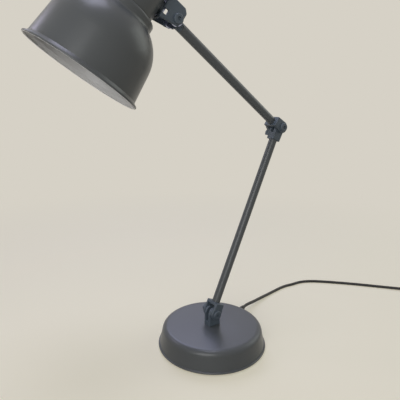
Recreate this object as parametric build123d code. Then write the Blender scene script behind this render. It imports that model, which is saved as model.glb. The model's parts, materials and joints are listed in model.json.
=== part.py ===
from build123d import *
import math
import os

# Adjustable desk lamp, in millimetres. The origin is the centre of the base on the table, +Z is up, the arms
# lie in the XZ plane with the elbow towards +X, and every arm pivot turns about Y.

# Arms, and the pose in which the lamp stands
TUBE_D = 13.0
TUBE_WALL = 1.0
LOWER_ARM = 319.2
UPPER_ARM = 241.0
LOWER_LEAN = 23.11
UPPER_LEAN = -54.8
HEAD_LEAN = 33.4
HEAD_SWIVEL = 8.9
LEAD_D = 4.6

# Pivots: forked castings on a bolt, with friction washers and a wing nut
EAR_R = 9.2
SHANK_R = 7.6
LEAD_GAP = 6.0
INNER_EAR = 4.6
OUTER_EAR = 4.0
WASHER_T = 0.9
WASHER_R = 8.0
FORK_SEAT = 2.5
SOCKET_DEPTH = 3.5
KNUCKLE_SOCKET = 8.5
SHOULDER_RISE = 3.0
SEAT_HALF = 3.0
LEAD_HOLE_D = 4.8
EDGE_R = 1.0
EYE_HALF = 6.3
EYE_REACH = 14.0
SPIGOT_L = 12.0
BOLT_D = 6.0
BOLT_HEAD_D = 14.0
BOLT_HEAD_H = 3.0
BOLT_HEAD_ROUND = 1.8
HEX_KEY = 5.0
HEX_DEPTH = 2.0
NUT_WASHER_T = 1.2
NUT_WASHER_R = 7.0
PIVOT_NUT_AF = 10.0
PIVOT_NUT_T = 6.0
THREAD_OUT = 1.0
WING_R = 14.5
WING_T = 2.6
WING_TIP_W = 5.4
WING_TIP_LOW = 5.0
WING_TOP = 11.0
WING_FOOT = 1.0
WING_HUB_R = 6.5
WING_HUB_TOP_R = 5.0
WING_HUB_L = 8.0
ELBOW_WING_TURN = 80.0
HEAD_WING_TURN = 12.0

# Base
BASE_D = 175.0
BASE_H = 34.0
BASE_DRAFT = 8.0
BASE_SHOULDER_R = 9.0
BASE_WALL = 1.4
LIP_R = 1.7
LIP_GAP = 1.4
PAD_T = 2.0
PAD_EDGE = 3.0
COVER_T = 1.2
COVER_ROOM = 3.4
WEIGHT_ROOM = 9.0
WEIGHT_T = 14.0
WEIGHT_EDGE = 2.0
WEIGHT_BOSS_R = 15.0
WEIGHT_FLARE = 6.0
CHANNEL_ROOM = 1.0
POST_H = 21.2
FOOT_HALF = 10.2
FOOT_FLOOR = 2.0
STUD_D = 10.0
STUD_BORE = 6.4
STUD_GRIP = 5.0
STUD_NUT_AF = 16.0
STUD_NUT_T = 5.0
COVER_SCREWS = 3
COVER_SCREW_IN = 17.0
COVER_SCREW_TURN = 60.0
SCREW_D = 4.0
SCREW_HEAD_D = 8.0
SCREW_L = 9.0

# Shade, in heights above the plane of its mouth
SHADE_D = 152.6
SHADE_WALL = 1.0
RIM_R = 1.5
FLARE_H = 6.0
SKIRT_R = 71.4
SKIRT_H = 44.0
SKIRT_TOP_R = 67.3
DOME_H = 82.4
DOME_TOP_R = 45.2
COLLAR_H = 87.5
COLLAR_R = 41.8
COLLAR_TOP_H = 95.5
COLLAR_ROUND = 3.0

# Neck housing, swivel and what the neck holds
NECK_R = 35.0
NECK_H = 56.5
NECK_ROUND = 8.0
SWIVEL_DROP = 28.0
NECK_REACH = 60.0
NIPPLE_IN = 5.0
VENTS = 8
VENT_W = 3.0
VENT_L = 9.0
VENT_DROP = 13.0
BRIDGE_T = 1.5
BRIDGE_SKIRT = 5.0
BRIDGE_SCREW_D = 3.0
PAN_H = 1.7
PAN_ROUND = 0.8
HOLDER_R = 17.0
HOLDER_L = 40.0
HOLDER_WALL = 2.0
HOLDER_WAIST_R = 13.0
HOLDER_WAIST_L = 6.0
HOLDER_SHOULDER_L = 8.0
HOLDER_ROOF = 4.0
HOLDER_RING_R = 20.0
RING_UP = 6.0
RING_T = 4.0
RING_FLARE = 3.0
BULB_R = 22.5
BULB_SHOW = 46.0
BULB_SEAM_H = 10.1
BULB_CAP_R = 13.4
BULB_CAP_L = 20.0
BULB_STEP = 1.0
BULB_COLLAR = 3.0
CAP_TIP_R = 5.0
CAP_TIP_L = 4.0
SWITCH_R = 9.0
SWITCH_L = 8.0
SWITCH_ROOM = 2.3
SWITCH_NUT_T = 2.4
SWITCH_NUT_EDGE = 0.6
SWITCH_FLOOR = 3.0
BUSH_R = 6.0
BUSH_RISE = 4.0
BUTTON_R = 4.0
BUTTON_RISE = 5.0
BUTTON_ROUND = 1.2
BUTTON_TRAVEL = 3.0

# Head bracket
BRACKET_T = 2.4
BRACKET_GAP = 9.9
BRACKET_UP = 18.5
BRACKET_DOWN = 15.0
BRACKET_END = 7.5
WEB_STANDOFF = 1.6
SADDLE_R = 9.0
SADDLE_HUG = 5.0
SWIVEL_NUT_AF = 14.0
SWIVEL_NUT_T = 2.2
NIPPLE_END = 0.6
SPACER_R = 8.6
BRACKET_CHIN = 7.7
BRACKET_SLOPE = 2.5
BRACKET_BROW = 5.0
BRACKET_CORNER_R = 2.5
RELIEF_L = 8.0
RELIEF_LOW = -8.0
RELIEF_TOP = -0.5
CABLE_WINDOW_L = 10.5
CABLE_WINDOW_LOW = 3.0
CABLE_WINDOW_TOP = 12.0

# Mains cord, its gland, coil, tie and plug
CORD_D = 5.6
CORD_EXIT = 23.0
CORD_STRAIGHT = 16.0
ARC_SHARE = 0.45
GAP_STEP = 2.0
GAP_SKIP = 7
GLAND_Z = 11.5
GLAND_FLANGE_R = 6.4
GLAND_FLANGE_T = 3.0
GLAND_NECK_R = 5.4
GLAND_IN = 5.0
GLAND_TAIL = 26.0
GLAND_TIP_R = 3.5
COIL_MID_R = 33.3
COIL_HALF_TURNS = 6
TURN_PITCH = 7.1
LAYER_RISE = 6.6
TIE_T = 0.9
TIE_W = 9.0
TIE_ROOM = 0.4
PLUG_W = 26.0
PLUG_L = 34.0
PLUG_TAPER = 14.0
PLUG_NECK_L = 16.0
PLUG_NECK_WALL = 0.8
PLUG_SHOULDER = 0.8
PLUG_CORNER = 0.7
PIN_D = 4.0
PIN_L = 19.0
PIN_ROUND = 1.6
PIN_SPACING = 18.6

# Clearances
FIT = 0.03
RUNNING = 0.05
FACE_GAP = 0.2
SWEEP_GAP = 2.3
SLIDE_GAP = 0.3
SEAT_GAP = 0.1

# Sizes that follow from the ones above
tube_r = TUBE_D / 2
bolt_r = BOLT_D / 2
inner_half = LEAD_GAP / 2 + INNER_EAR
outer_gap = inner_half + FACE_GAP + WASHER_T
outer_half = outer_gap + OUTER_EAR
fork_floor = EAR_R + SWEEP_GAP
socket_floor = fork_floor + FORK_SEAT
pivot_z = BASE_H + POST_H
base_top_r = BASE_D / 2 - BASE_DRAFT
cover_r = BASE_D / 2 - LIP_R - BASE_WALL - COVER_ROOM
pad_r = cover_r - PAD_EDGE
weight_r = cover_r - WEIGHT_ROOM
cover_screw_r = weight_r - COVER_SCREW_IN
shell_under = BASE_H - BASE_WALL
cover_top = PAD_T + COVER_T
neck_in = NECK_R - SHADE_WALL
neck_top = COLLAR_TOP_H + NECK_H
neck_under = neck_top - SHADE_WALL
swivel_h = neck_top - SWIVEL_DROP
bridge_h = neck_under - SWITCH_L - SWITCH_ROOM - SWIVEL_NUT_T - BRIDGE_T
bridge_top = bridge_h + BRIDGE_T
bridge_screw_h = bridge_h - (BRIDGE_SKIRT - BRIDGE_T) / 2
holder_low = bridge_h - HOLDER_L
collar_under = COLLAR_TOP_H - SHADE_WALL
neck_flange_r = COLLAR_R - COLLAR_ROUND - SEAT_GAP
bracket_half = BRACKET_GAP + BRACKET_T
web_out = -NECK_REACH + NECK_R + WEB_STANDOFF
web_in = web_out + BRACKET_T
cord_r = CORD_D / 2
gland_out = BASE_D / 2 + GLAND_FLANGE_T
gland_tip = gland_out + GLAND_TAIL
coil_low_z = cord_r + TIE_T + TIE_ROOM
coil_high_z = coil_low_z + LAYER_RISE


# Frames of the moving bodies, each with its origin on its pivot
lower_frame = Pos(0, 0, pivot_z) * Rot(0, LOWER_LEAN, 0)
elbow_frame = lower_frame * Pos(0, 0, LOWER_ARM)
upper_frame = Pos(*elbow_frame.position) * Rot(0, UPPER_LEAN, 0)
head_frame = Pos(*(upper_frame * Pos(0, 0, UPPER_ARM)).position) * Rot(0, HEAD_LEAN, 0)
neck_frame = head_frame * Pos(-NECK_REACH, 0, 0) * Rot(HEAD_SWIVEL, 0, 0)
shade_frame = neck_frame * Pos(0, 0, -swivel_h)
exit_frame = Pos(0, 0, GLAND_Z) * Rot(0, 0, CORD_EXIT) * Rot(0, 90, 0)


# Plain forms used by several pieces
def post(radius, low, high):
    """Round bar along Z."""
    return Pos(0, 0, (low + high) / 2) * Cylinder(radius, high - low)


def rod(radius, near, far):
    """Round bar along Y."""
    return Pos(0, (near + far) / 2, 0) * Rot(90, 0, 0) * Cylinder(radius, far - near)


def bar(radius, left, right):
    """Round bar along X."""
    return Pos((left + right) / 2, 0, 0) * Rot(0, 90, 0) * Cylinder(radius, right - left)


def tube(outside, bore, low, high):
    """Round tube along Z."""
    return post(outside, low, high) - post(bore, low - 1, high + 1)


def prism(points, half):
    """Plate with its outline in the XZ plane, half its thickness each side of it."""
    return extrude(Plane.XZ * make_face(Polyline(*points, close=True)), half, both=True)


def turned(points):
    """Solid turned about Z from an outline of (radius, height) points."""
    return revolve(Plane.XZ * make_face(Polyline(*points, close=True)), Axis.Z)


def closed_strip(outside, inside):
    """Face between two open outlines that run the same way."""
    ends = [Line(outside @ 0, inside @ 0), Line(outside @ 1, inside @ 1)]
    return Plane.XZ * make_face(Curve() + [outside, inside, *ends])


def ear_plate(reach, half, shank_half=SHANK_R):
    """Ear plate: round about the pivot, running along Z into a shank of its own width."""
    shank = Pos(0, reach / 2) * Rectangle(2 * shank_half, reach)
    return extrude(Plane.XZ * make_hull(Circle(EAR_R).edges() + shank.edges()), half, both=True)


def eased(solid, radius):
    """Rounds the two outlines that face along Y."""
    sides = solid.faces().filter_by(Axis.Y).sort_by(Axis.Y)
    return fillet(sides[0].edges() + sides[-1].edges(), radius)


# Fork castings, each with its pivot at the origin and its arm along Z
def bored(body, depth):
    """Cuts a fork's tube socket, lead hole and bolt hole."""
    body -= post(tube_r + FIT, socket_floor, socket_floor + depth + 1)
    body -= post(LEAD_HOLE_D / 2, 0, socket_floor + 1)
    return body - rod(bolt_r + RUNNING, -outer_half - 1, outer_half + 1)


def outer_fork():
    """Wide fork: two ears that straddle the mating casting, on a tube socket."""
    side = EAR_R + 1
    slot = [(-side, -side), (side, -side), (side, fork_floor + SHOULDER_RISE), (SEAT_HALF, fork_floor)]
    slot += [(-SEAT_HALF, fork_floor), (-side, fork_floor + SHOULDER_RISE)]
    ears = eased(ear_plate(socket_floor + SOCKET_DEPTH, outer_half), EDGE_R)
    return bored(ears - prism(slot, outer_gap), SOCKET_DEPTH)


def inner_fork():
    """Narrow fork: two ears with the lead's gap between them, on a tube socket."""
    low = -EAR_R - 1
    gap = Pos(0, 0, (fork_floor + low) / 2) * Box(2 * EAR_R + 2, LEAD_GAP, fork_floor - low)
    return bored(eased(ear_plate(socket_floor + KNUCKLE_SOCKET, inner_half), EDGE_R) - gap, KNUCKLE_SOCKET)


def tube_eye():
    """Eye no wider than the tube, on a spigot that is pressed into the tube's end."""
    outline = Circle(tube_r) + Pos(0, EYE_REACH / 2) * Rectangle(TUBE_D, EYE_REACH)
    eye = eased(extrude(Plane.XZ * outline, EYE_HALF, both=True), EDGE_R)
    eye &= post(tube_r, -tube_r, EYE_REACH)
    eye += post(tube_r - TUBE_WALL - FIT, EYE_REACH, EYE_REACH + SPIGOT_L)
    eye -= Box(TUBE_D + 2, LEAD_GAP, 2 * (tube_r + FACE_GAP))
    eye -= post(LEAD_HOLE_D / 2, 0, EYE_REACH + SPIGOT_L + 1)
    return eye - rod(bolt_r + RUNNING, -EYE_HALF - 1, EYE_HALF + 1)


def arm_lead(length, top):
    """Flexible lead along the arm, from the floor of its fork to the casting at the top."""
    return post(LEAD_D / 2, fork_floor, length - top)


# Pivot hardware, along Y with the pivot at the origin
def pivot_bolt(half, nut_height):
    """Button-head bolt from the near side, long enough for the washer and the nut."""
    head = rod(BOLT_HEAD_D / 2, -half - BOLT_HEAD_H, -half)
    head = fillet(head.edges().group_by(Axis.Y)[0], BOLT_HEAD_ROUND)
    key = Plane.XZ.offset(half + BOLT_HEAD_H) * RegularPolygon(HEX_KEY / 2, 6, major_radius=False)
    head -= extrude(key, -HEX_DEPTH)
    return head + rod(bolt_r, -half - BOLT_HEAD_H / 3, half + NUT_WASHER_T + nut_height + THREAD_OUT)


def ring(radius, near, far):
    """Washer or spacer on a pivot bolt."""
    return rod(radius, near, far) - rod(bolt_r + RUNNING, near - 1, far + 1)


def pivot_washers(half):
    """Two friction washers between the ears, and a flat washer under the wing nut."""
    near = ring(WASHER_R, -outer_gap, -inner_half - FACE_GAP)
    far = ring(WASHER_R, inner_half + FACE_GAP, outer_gap)
    return [near, far, ring(NUT_WASHER_R, half, half + NUT_WASHER_T)]


def pivot_nut(half):
    """Plain lock nut standing on its washer."""
    seat = Plane.XZ.offset(-half - NUT_WASHER_T)
    blank = extrude(seat * RegularPolygon(PIVOT_NUT_AF / 2, 6, major_radius=False), -PIVOT_NUT_T)
    return blank - rod(bolt_r + RUNNING, half, half + NUT_WASHER_T + PIVOT_NUT_T + 1)


def wing_nut(half, turn):
    """Wing nut standing on its washer, its wings turned from +X towards +Z."""
    standing = (Align.CENTER, Align.CENTER, Align.MIN)
    hub = Rot(-90, 0, 0) * Cone(WING_HUB_R, WING_HUB_TOP_R, WING_HUB_L, align=standing)
    root = (bolt_r + WING_HUB_TOP_R) / 2
    tip = WING_R - WING_TIP_W
    points = [(root, WING_FOOT), (tip, 2 * WING_FOOT), (WING_R, WING_TIP_LOW), (WING_R, WING_TOP)]
    points += [(tip, WING_TOP), (root, WING_HUB_L - WING_FOOT)]
    wing = extrude(make_face(Polyline(*points, close=True)), WING_T / 2, both=True)
    wing = fillet(wing.edges().filter_by(Axis.Z).group_by(Axis.X)[-1], WING_TIP_W / 3)
    nut = hub + wing + Rot(0, 180, 0) * wing
    nut -= rod(bolt_r + RUNNING, -1, WING_TOP + 1)
    return Pos(0, half + NUT_WASHER_T, 0) * Rot(0, -turn, 0) * nut


# Base
def base_outline(inset):
    """Half section of the pressed base, the outside at no inset."""
    foot_r = BASE_D / 2 - LIP_R
    low = LIP_GAP + LIP_R
    corner = (base_top_r - inset, BASE_H - inset)
    return FilletPolyline((0, BASE_H - inset), corner, (foot_r - inset, low), radius=BASE_SHOULDER_R - inset)


def base_core():
    """The space that the base fills, as one solid."""
    outside = base_outline(0)
    low = outside @ 1
    sides = [Line(outside @ 0, (0, low.Y)), Line((0, low.Y), outside @ 1)]
    return revolve(Plane.XZ * make_face(Curve() + [outside, *sides]), Axis.Z)


def base_shell():
    """Pressed steel shell with a rolled lip."""
    shell = revolve(closed_strip(base_outline(0), base_outline(BASE_WALL)), Axis.Z)
    shell += Pos(0, 0, LIP_GAP + LIP_R) * Torus(BASE_D / 2 - LIP_R, LIP_R)
    shell -= post(STUD_D / 2 + FIT, shell_under - 1, BASE_H + 1)
    return shell - exit_frame * post(GLAND_NECK_R + FIT, weight_r, gland_out)


def base_weight():
    """Cast-iron disc with a boss that carries the shell's top."""
    top = cover_top + WEIGHT_T
    points = [(0, cover_top), (weight_r, cover_top), (weight_r, top - WEIGHT_EDGE)]
    points += [(weight_r - WEIGHT_EDGE, top)]
    points += [(WEIGHT_BOSS_R + WEIGHT_FLARE, top), (WEIGHT_BOSS_R, top + WEIGHT_FLARE)]
    points += [(WEIGHT_BOSS_R, shell_under), (0, shell_under)]
    weight = turned(points) - post(STUD_D / 2 + FIT, 0, BASE_H)
    pocket = RegularPolygon(STUD_NUT_AF / 2 + SEAT_GAP, 6, major_radius=False)
    weight -= Pos(0, 0, cover_top) * extrude(pocket, STUD_NUT_T + SEAT_GAP)
    channel_w = CORD_D + 2 * CHANNEL_ROOM
    channel = Pos(weight_r / 2, 0, cover_top) * Box(weight_r + 1, channel_w, CORD_D + channel_w)
    weight -= Rot(0, 0, CORD_EXIT) * channel
    for place in PolarLocations(cover_screw_r, COVER_SCREWS, start_angle=CORD_EXIT + COVER_SCREW_TURN):
        weight -= place * post(SCREW_D / 2 + FIT, 0, cover_top + SCREW_L + 1)
    return weight


def base_cover():
    """Sheet disc that closes the base from below."""
    cover = post(cover_r, PAD_T, cover_top)
    for place in PolarLocations(cover_screw_r, COVER_SCREWS, start_angle=CORD_EXIT + COVER_SCREW_TURN):
        cover -= place * screw_blank(FIT)
    return cover


def screw_blank(room):
    """Countersunk screw, head down, flush with the cover's underside."""
    head = Pos(0, 0, PAD_T) * Cone(SCREW_HEAD_D / 2 + room, SCREW_D / 2 + room, COVER_T,
                                   align=(Align.CENTER, Align.CENTER, Align.MIN))
    return head + post(SCREW_D / 2 + room, PAD_T, cover_top + SCREW_L)


def cover_screws():
    places = PolarLocations(cover_screw_r, COVER_SCREWS, start_angle=CORD_EXIT + COVER_SCREW_TURN)
    return [place * screw_blank(0) for place in places]


def base_fork():
    """Casting on the base: two ears that widen into a foot, with a socket for the stud."""
    slot_low = STUD_GRIP + SEAT_GAP + FOOT_FLOOR
    slot_h = POST_H + EAR_R + 1 - slot_low
    ears = eased(ear_plate(POST_H, inner_half, FOOT_HALF), EDGE_R)
    body = Pos(0, 0, POST_H) * Rot(180, 0, 0) * ears
    body -= Pos(0, 0, slot_low + slot_h / 2) * Box(2 * FOOT_HALF + 2, LEAD_GAP, slot_h)
    body -= Pos(0, 0, POST_H) * rod(bolt_r + RUNNING, -outer_half, outer_half)
    body -= post(STUD_D / 2 + FIT, -1, STUD_GRIP + SEAT_GAP)
    body -= post(LEAD_HOLE_D / 2, 0, POST_H)
    return Pos(0, 0, BASE_H) * body


def base_stud():
    return tube(STUD_D / 2, STUD_BORE / 2, cover_top + SEAT_GAP, BASE_H + STUD_GRIP)


def stud_nut():
    nut = extrude(RegularPolygon(STUD_NUT_AF / 2, 6, major_radius=False), STUD_NUT_T)
    return Pos(0, 0, cover_top + SEAT_GAP) * nut - post(STUD_D / 2 + FIT, 0, BASE_H)


# Head bracket, about the head pivot
def head_bracket():
    """Folded steel bracket: two cheeks, and a web with relieved corners that faces the neck."""
    points = [(web_out, -BRACKET_DOWN), (BRACKET_END - BRACKET_SLOPE, -BRACKET_CHIN), (BRACKET_END, 0)]
    points += [(BRACKET_END, BRACKET_UP - BRACKET_BROW), (BRACKET_END - BRACKET_BROW, BRACKET_UP)]
    outline = make_face(Polyline(*points, (web_out, BRACKET_UP), close=True))
    outline = fillet(outline.vertices(), BRACKET_CORNER_R)
    body = extrude(Plane.XZ * outline, bracket_half, both=True)
    body = fillet(body.edges().filter_by(Axis.Z).group_by(Axis.X)[0], BRACKET_T)
    room = 2 * (BRACKET_UP + BRACKET_DOWN)
    body -= Pos(web_in + room / 2, 0, 0) * Box(room, 2 * BRACKET_GAP, room)
    relief_h = RELIEF_TOP - RELIEF_LOW
    relief = Box(2 * RELIEF_L, 2 * BRACKET_T + 2 * (BRACKET_GAP - SADDLE_R), relief_h)
    for side in (-1, 1):
        body -= Pos(web_out, side * bracket_half, RELIEF_LOW + relief_h / 2) * relief
    window = RectangleRounded(CABLE_WINDOW_L, CABLE_WINDOW_TOP - CABLE_WINDOW_LOW, BRACKET_CORNER_R)
    place = Pos(web_in + BRACKET_T + CABLE_WINDOW_L / 2, (CABLE_WINDOW_LOW + CABLE_WINDOW_TOP) / 2)
    body -= extrude(Plane.XZ * place * window, -bracket_half - 1)
    body -= bar(STUD_D / 2 + RUNNING, web_out - 1, web_in + 1)
    return body - rod(bolt_r + RUNNING, -bracket_half - 1, bracket_half + 1)


def head_spacers():
    far = ring(SPACER_R, EYE_HALF + FACE_GAP, BRACKET_GAP)
    return [far, Rot(180, 0, 0) * far, ring(NUT_WASHER_R, bracket_half, bracket_half + NUT_WASHER_T)]


# Swivel, along X through the neck's axis
def swivel_nipple():
    nipple = bar(STUD_D / 2, neck_in - NIPPLE_IN, NECK_REACH + web_in + FACE_GAP + SWIVEL_NUT_T + NIPPLE_END)
    return Pos(0, 0, swivel_h) * (nipple - bar(STUD_BORE / 2, 0, NECK_REACH))


def swivel_saddle():
    saddle = bar(SADDLE_R, NECK_R - SADDLE_HUG, NECK_REACH + web_out - FACE_GAP)
    saddle -= post(NECK_R + FIT, -SADDLE_R - 1, SADDLE_R + 1)
    return Pos(0, 0, swivel_h) * (saddle - bar(STUD_D / 2 + FIT, 0, NECK_REACH))


def swivel_nuts():
    """Lock nuts on the nipple, inside the bracket's web and inside the neck."""
    blank = Rot(0, 90, 0) * extrude(RegularPolygon(SWIVEL_NUT_AF / 2, 6, major_radius=False), SWIVEL_NUT_T)
    blank -= bar(STUD_D / 2 + FIT, -1, SWIVEL_NUT_T + 1)
    inside = neck_in - SWIVEL_NUT_AF ** 2 / (6 * neck_in) - SWIVEL_NUT_T
    places = [inside, NECK_REACH + web_in + FACE_GAP]
    return [Pos(place, 0, swivel_h) * blank for place in places]


# Shade and neck, about the shade's axis
def shade_outline(inset):
    """Half section of the spun shade, from its rim up to the collar, the outside at no inset."""
    rim_r = SHADE_D / 2 - RIM_R - inset
    skirt = Vector(SKIRT_TOP_R - SKIRT_R, SKIRT_H - FLARE_H)
    outer_dome = TangentArc((SKIRT_TOP_R, SKIRT_H), (DOME_TOP_R, DOME_H), tangent=skirt)
    heading = outer_dome % 1
    dome_end = outer_dome @ 1 + Vector(-heading.Y, heading.X) * inset
    flare = Line((rim_r, RIM_R), (SKIRT_R - inset, FLARE_H))
    side = Line(flare @ 1, (SKIRT_TOP_R - inset, SKIRT_H))
    dome = TangentArc(side @ 1, dome_end, tangent=skirt)
    waist = TangentArc((COLLAR_R - inset, COLLAR_H), dome_end, tangent=(0, -1))
    corner = (COLLAR_R - inset, COLLAR_TOP_H - inset)
    lip = (NECK_R + SEAT_GAP, COLLAR_TOP_H - inset)
    neck = FilletPolyline(waist @ 0, corner, lip, radius=COLLAR_ROUND - inset)
    return [flare, side, dome, waist, neck]


def shade():
    """Spun steel bell with a rolled rim, and a collar turned in for the neck."""
    outside = shade_outline(0)
    inside = shade_outline(SHADE_WALL)
    ends = [Line(outside[0] @ 0, inside[0] @ 0), Line(outside[-1] @ 1, inside[-1] @ 1)]
    bell = revolve(Plane.XZ * make_face(Curve() + [*outside, *inside, *ends]), Axis.Z)
    return bell + Pos(0, 0, RIM_R) * Torus(SHADE_D / 2 - RIM_R, RIM_R)


def neck_outline(inset):
    """Half section of the drawn neck cup, from the centre of its top down to its flange."""
    corner = (NECK_R - inset, neck_top - inset)
    foot = (NECK_R - inset, collar_under - SHADE_WALL)
    return FilletPolyline((0, neck_top - inset), corner, foot, radius=NECK_ROUND - inset)


def neck_cup():
    """Drawn steel cup on the shade, with vents round its top and a flange under the collar."""
    cup = revolve(closed_strip(neck_outline(0), neck_outline(SHADE_WALL)), Axis.Z)
    cup += tube(neck_flange_r, neck_in, collar_under - SHADE_WALL, collar_under)
    cup -= Pos(0, 0, swivel_h) * bar(STUD_D / 2 + FIT, 0, NECK_R + 1)
    cup -= post(BUSH_R + FIT, neck_under - 1, neck_top + 1)
    for place in PolarLocations(NECK_R, VENTS, start_angle=180 / VENTS):
        cup -= place * Pos(0, 0, neck_top - VENT_DROP) * Box(4 * SHADE_WALL, VENT_W, VENT_L)
    return cup - Pos(0, 0, bridge_screw_h) * rod(BRIDGE_SCREW_D / 2 + FIT, -NECK_R - 1, NECK_R + 1)


def holder_bridge():
    """Pressed cap across the neck that carries the lampholder."""
    bridge = post(neck_in - SEAT_GAP, bridge_top - BRIDGE_SKIRT, bridge_top)
    bridge -= post(neck_in - SEAT_GAP - BRIDGE_T, bridge_top - BRIDGE_SKIRT - 1, bridge_h)
    bridge -= post(STUD_D / 2 + FIT, bridge_h - 1, bridge_top + 1)
    return bridge - Pos(0, 0, bridge_screw_h) * rod(BRIDGE_SCREW_D / 2 + FIT, -NECK_R - 1, NECK_R + 1)


def bridge_screws():
    """Two pan-head screws through the neck's wall into the bridge."""
    shank = rod(BRIDGE_SCREW_D / 2, neck_in - BRIDGE_T - SEAT_GAP - 1, NECK_R + SEAT_GAP)
    head = rod(BRIDGE_SCREW_D, NECK_R + SEAT_GAP, NECK_R + SEAT_GAP + PAN_H)
    head = fillet(head.edges().group_by(Axis.Y)[-1], PAN_ROUND)
    screw = Pos(0, 0, bridge_screw_h) * (shank + head)
    return [screw, Rot(0, 0, 180) * screw]


def lampholder():
    """Moulded lampholder hung from the bridge by its hollow top."""
    waist = bridge_h - HOLDER_WAIST_L
    shoulder = waist - HOLDER_SHOULDER_L
    bore = HOLDER_R - HOLDER_WALL
    points = [(HOLDER_R, holder_low), (HOLDER_R, shoulder), (HOLDER_WAIST_R, waist)]
    points += [(HOLDER_WAIST_R, bridge_h), (STUD_D / 2, bridge_h), (STUD_D / 2, bridge_top + SWIVEL_NUT_T)]
    points += [(STUD_BORE / 2, bridge_top + SWIVEL_NUT_T), (STUD_BORE / 2, shoulder + HOLDER_ROOF)]
    return turned(points + [(bore, shoulder), (bore, holder_low)])


def holder_nut():
    nut = extrude(RegularPolygon(SWIVEL_NUT_AF / 2, 6, major_radius=False), SWIVEL_NUT_T)
    nut -= post(STUD_D / 2 + FIT, -1, SWIVEL_NUT_T + 1)
    return Pos(0, 0, bridge_top) * nut


def holder_ring():
    """Threaded ring on the lampholder's mouth."""
    foot = holder_low + RING_UP
    rim = HOLDER_RING_R + RING_FLARE
    points = [(HOLDER_R + FIT, foot), (HOLDER_RING_R, foot), (rim, foot + RING_T / 2)]
    return turned(points + [(rim, foot + RING_T), (HOLDER_R + FIT, foot + RING_T)])


def bulb_parts():
    """Frosted globe and the body with its screw cap."""
    centre = holder_low - BULB_SHOW + BULB_R
    seam = centre + BULB_SEAM_H
    globe = Pos(0, 0, centre) * Sphere(BULB_R) - post(BULB_R, seam, holder_low)
    collar_r = BULB_CAP_R + BULB_STEP
    collar_top = holder_low + BULB_COLLAR
    cap_top = holder_low + BULB_CAP_L
    seam_r = math.sqrt(BULB_R ** 2 - BULB_SEAM_H ** 2)
    points = [(0, seam), (seam_r, seam), (collar_r, holder_low - BULB_STEP)]
    points += [(collar_r, collar_top), (BULB_CAP_R, collar_top), (BULB_CAP_R, cap_top)]
    return globe, turned(points + [(CAP_TIP_R, cap_top + CAP_TIP_L), (0, cap_top + CAP_TIP_L)])


def switch_body():
    """Push switch under the neck's top, its bushing through the hole."""
    floor = neck_under - SWITCH_L
    rise = neck_top + BUSH_RISE
    body = post(SWITCH_R, floor, neck_under) + post(BUSH_R, neck_under, rise)
    return body - post(BUTTON_R + SLIDE_GAP, floor + SWITCH_FLOOR, rise + 1)


def switch_ring():
    """Knurled nut that holds the switch."""
    ring_nut = tube(SWITCH_R, BUSH_R + FIT, neck_top, neck_top + SWITCH_NUT_T)
    return chamfer(ring_nut.edges().group_by(Axis.Z)[-1].sort_by(SortBy.RADIUS)[-1], SWITCH_NUT_EDGE)


def switch_button():
    top = neck_top + BUSH_RISE + BUTTON_RISE
    low = neck_under - SWITCH_L + SWITCH_FLOOR + BUTTON_TRAVEL + SLIDE_GAP
    return fillet(post(BUTTON_R, low, top).edges().group_by(Axis.Z)[-1], BUTTON_ROUND)


# Mains cord
def cord_gland():
    """Moulded gland: a flange on the shell's side, a neck through it and a tapered tail."""
    flange = exit_frame * post(GLAND_FLANGE_R, weight_r, gland_out) - base_core()
    tail = [(0, gland_out), (GLAND_NECK_R, gland_out), (GLAND_TIP_R, gland_tip), (0, gland_tip)]
    neck = exit_frame * post(GLAND_NECK_R, weight_r + GLAND_IN, gland_out)
    return flange + neck + exit_frame * turned(tail)


def out_along(distance):
    """Point on the gland's axis, that far from the middle of the base."""
    angle = math.radians(CORD_EXIT)
    return (distance * math.cos(angle), distance * math.sin(angle), GLAND_Z)


cord_points = [
    out_along(gland_tip), out_along(gland_tip + CORD_STRAIGHT), (140.0, 56.9, 9.2), (167.0, 62.6, 4.8),
    (204.0, 71.6, cord_r), (246.0, 80.0, cord_r), (273.0, 77.0, cord_r), (298.0, 76.5, cord_r),
    (322.0, 66.0, cord_r), (351.0, 41.0, cord_r), (388.0, 5.0, cord_r), (428.0, -39.0, cord_r),
    (473.0, -92.0, coil_low_z), (510.5, -139.6, coil_low_z),
]


def cord_radii(points):
    """Arc radius at each inner point: as large as its two runs allow."""
    radii = []
    for before, here, after in zip(points, points[1:], points[2:]):
        run_in = Vector(*here) - Vector(*before)
        run_out = Vector(*after) - Vector(*here)
        half_turn = math.radians(run_in.get_angle(run_out)) / 2
        radii.append(ARC_SHARE * min(run_in.length, run_out.length) / math.tan(half_turn))
    return radii


def swept(path):
    """Round cord along a path."""
    section = Plane(path @ 0, z_dir=path % 0) * Circle(cord_r)
    return sweep(section, path=path)


def mains_cord():
    radii = cord_radii(cord_points)
    path = FilletPolyline(*cord_points, radius=radii)
    solid = swept(path)
    print("cord radii", [round(radius) for radius in radii])
    print("cord length", round(path.length, 1), "volume over section",
          round(solid.volume / (math.pi * cord_r ** 2), 1))
    return solid


def coil_stops():
    """Ends of the coil's half turns: inwards on the low layer, up, and outwards on the high layer."""
    start_r = COIL_MID_R + TURN_PITCH * COIL_HALF_TURNS / 4
    inwards = [start_r - TURN_PITCH * step / 2 for step in range(COIL_HALF_TURNS + 1)]
    outwards = list(reversed(inwards))
    radii = inwards + outwards
    heights = [coil_low_z] * len(inwards) + [coil_high_z] * len(outwards)
    sides = [(-1) ** step for step in range(len(radii))]
    return [Vector(side * radius, 0, height) for side, radius, height in zip(sides, radii, heights)]


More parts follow.
